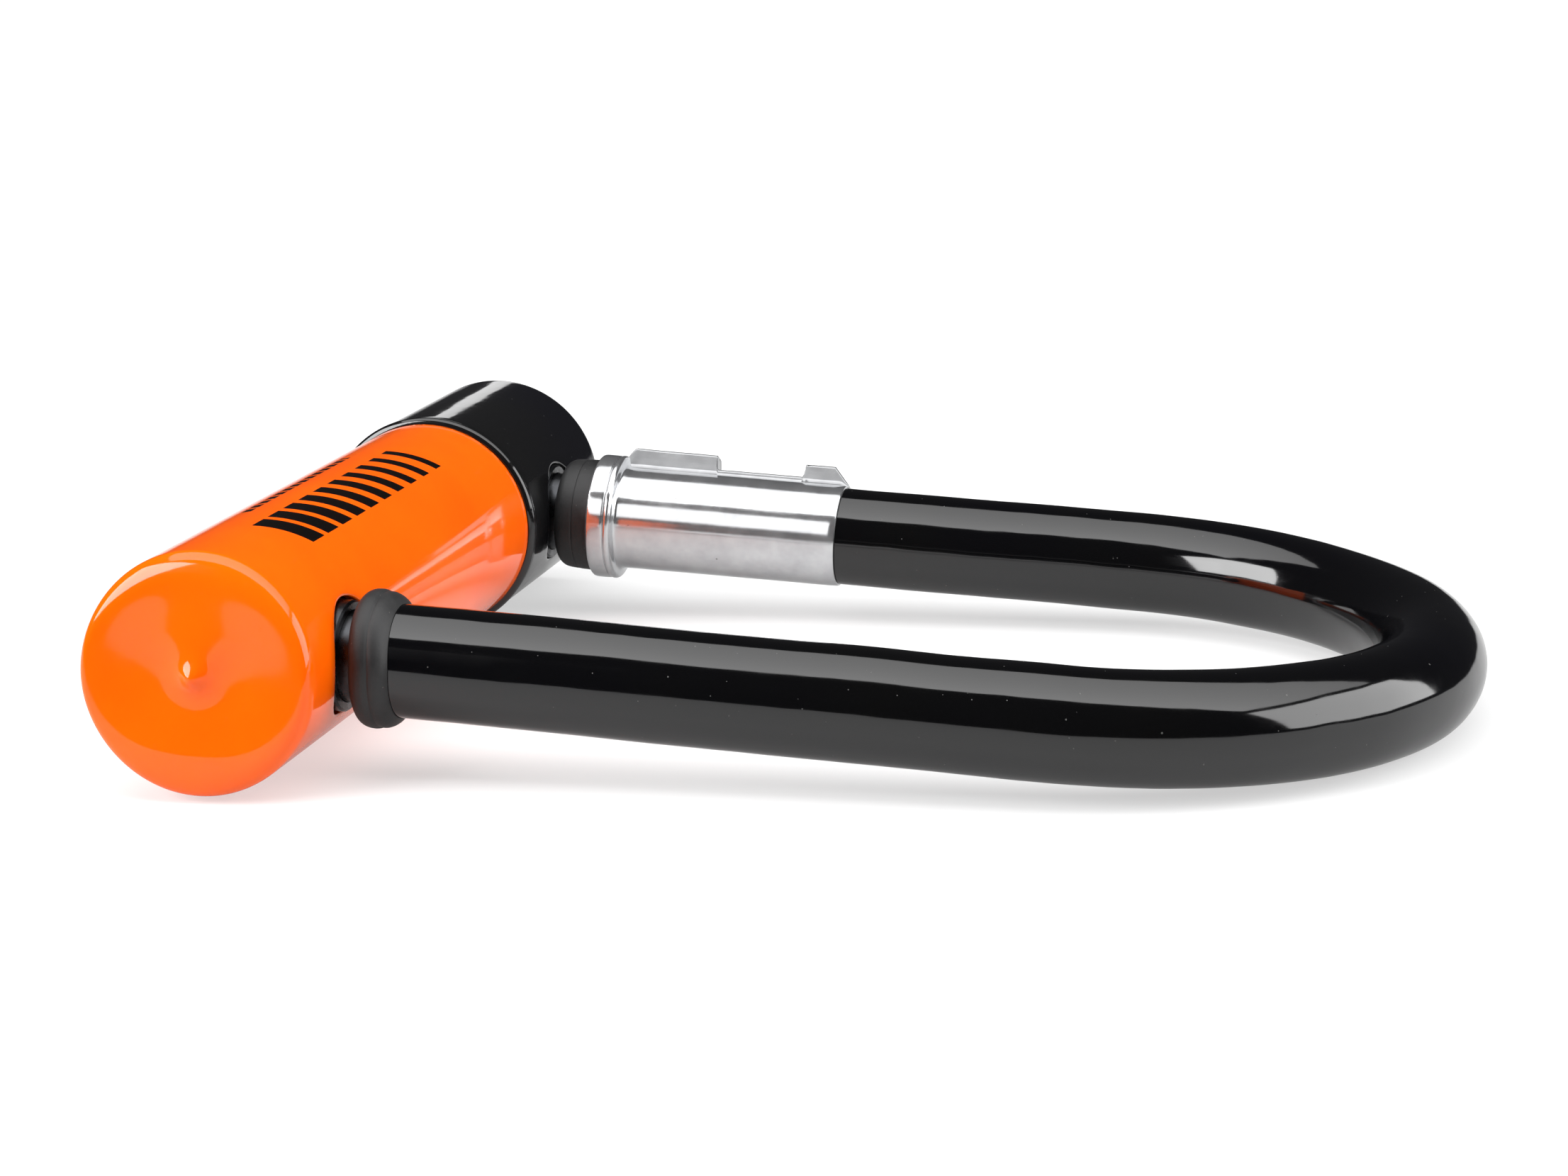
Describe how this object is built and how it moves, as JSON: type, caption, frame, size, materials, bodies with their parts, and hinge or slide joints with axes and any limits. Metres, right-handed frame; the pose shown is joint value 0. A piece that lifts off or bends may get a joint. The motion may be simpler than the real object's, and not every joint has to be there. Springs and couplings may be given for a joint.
{
  "type": "bicycle u lock",
  "caption": "Short bicycle U lock: a covered round steel shackle that plugs into a sleeved crossbar and is held by two deadbolts driven by a disc cylinder.",
  "frame": {"origin": "on the crossbar's axis, midway between the two feet of the shackle, at the middle of the hand grip between them", "axes": "+X along the shackle's legs from the crossbar to the bend, +Y along the crossbar from its closed end to its lock end, +Z square to the shackle's plane"},
  "size_m": [0.1899, 0.1428, 0.0358],
  "materials": {
    "orange_vinyl": "glossy dipped vinyl",
    "black_vinyl": "glossy extruded vinyl",
    "black_moulding": "glossy moulded plastic",
    "black_rubber": "matte moulded rubber",
    "satin_plastic": "satin moulded plastic",
    "zinc_steel": "bright zinc plate",
    "hardened_steel": "ground and oiled",
    "tube_steel": "drawn tube",
    "brass": "machined"
  },
  "bodies": {
    "crossbar": {"crossbar_tube": "tube_steel", "crossbar_sleeve": "orange_vinyl", "lock_end_sleeve": "black_moulding", "end_plug": "tube_steel", "foot_collars": "hardened_steel", "near_foot_block": "hardened_steel", "far_foot_block": "hardened_steel", "bolt_guide": "tube_steel", "roll_pins": "hardened_steel", "housing_pin": "hardened_steel", "face_plate": "hardened_steel", "dust_cover_track": "satin_plastic", "cylinder_housing": "brass"},
    "shackle_body": {"shackle": "hardened_steel", "shackle_cover": "black_vinyl", "near_boot": "black_rubber", "far_boot": "black_rubber", "carrier_band": "zinc_steel"},
    "lock_barrel": {"lock_core": "brass", "core_clip": "hardened_steel", "code_discs": "brass", "disc_spacers": "hardened_steel", "sidebar": "hardened_steel", "drill_guard_disc": "hardened_steel", "drive_drum": "hardened_steel", "drum_pin": "hardened_steel"},
    "far_bolt_body": {"far_bolt": "hardened_steel", "far_follower_pin": "hardened_steel"},
    "near_bolt_body": {"near_bolt": "hardened_steel", "near_follower_pin": "hardened_steel"},
    "dust_cover_body": {"dust_cover": "satin_plastic"}
  },
  "joints": [
    {"name": "shackle_pull", "type": "slide", "parent": "crossbar", "child": "shackle_body", "axis": [1, 0, 0], "range_m": [0, 0.06]},
    {"name": "core_turn", "type": "hinge", "parent": "crossbar", "child": "lock_barrel", "pos_m": [-0.0052, 0.045, 0], "axis": [0, 1, 0], "range_deg": [0, 90]},
    {"name": "far_bolt_slide", "type": "slide", "parent": "crossbar", "child": "far_bolt_body", "axis": [0, 1, 0], "range_m": [0, 0.005]},
    {"name": "near_bolt_slide", "type": "slide", "parent": "crossbar", "child": "near_bolt_body", "axis": [0, -1, 0], "range_m": [0, 0.005]},
    {"name": "dust_cover_slide", "type": "slide", "parent": "crossbar", "child": "dust_cover_body", "axis": [1, 0, 0], "range_m": [0, 0.01]}
  ],
  "couplings": [
    {"joint": "core_turn", "follows": "near_bolt_slide", "rad_per_m": 314.16},
    {"joint": "far_bolt_slide", "follows": "near_bolt_slide", "ratio": 1}
  ]
}
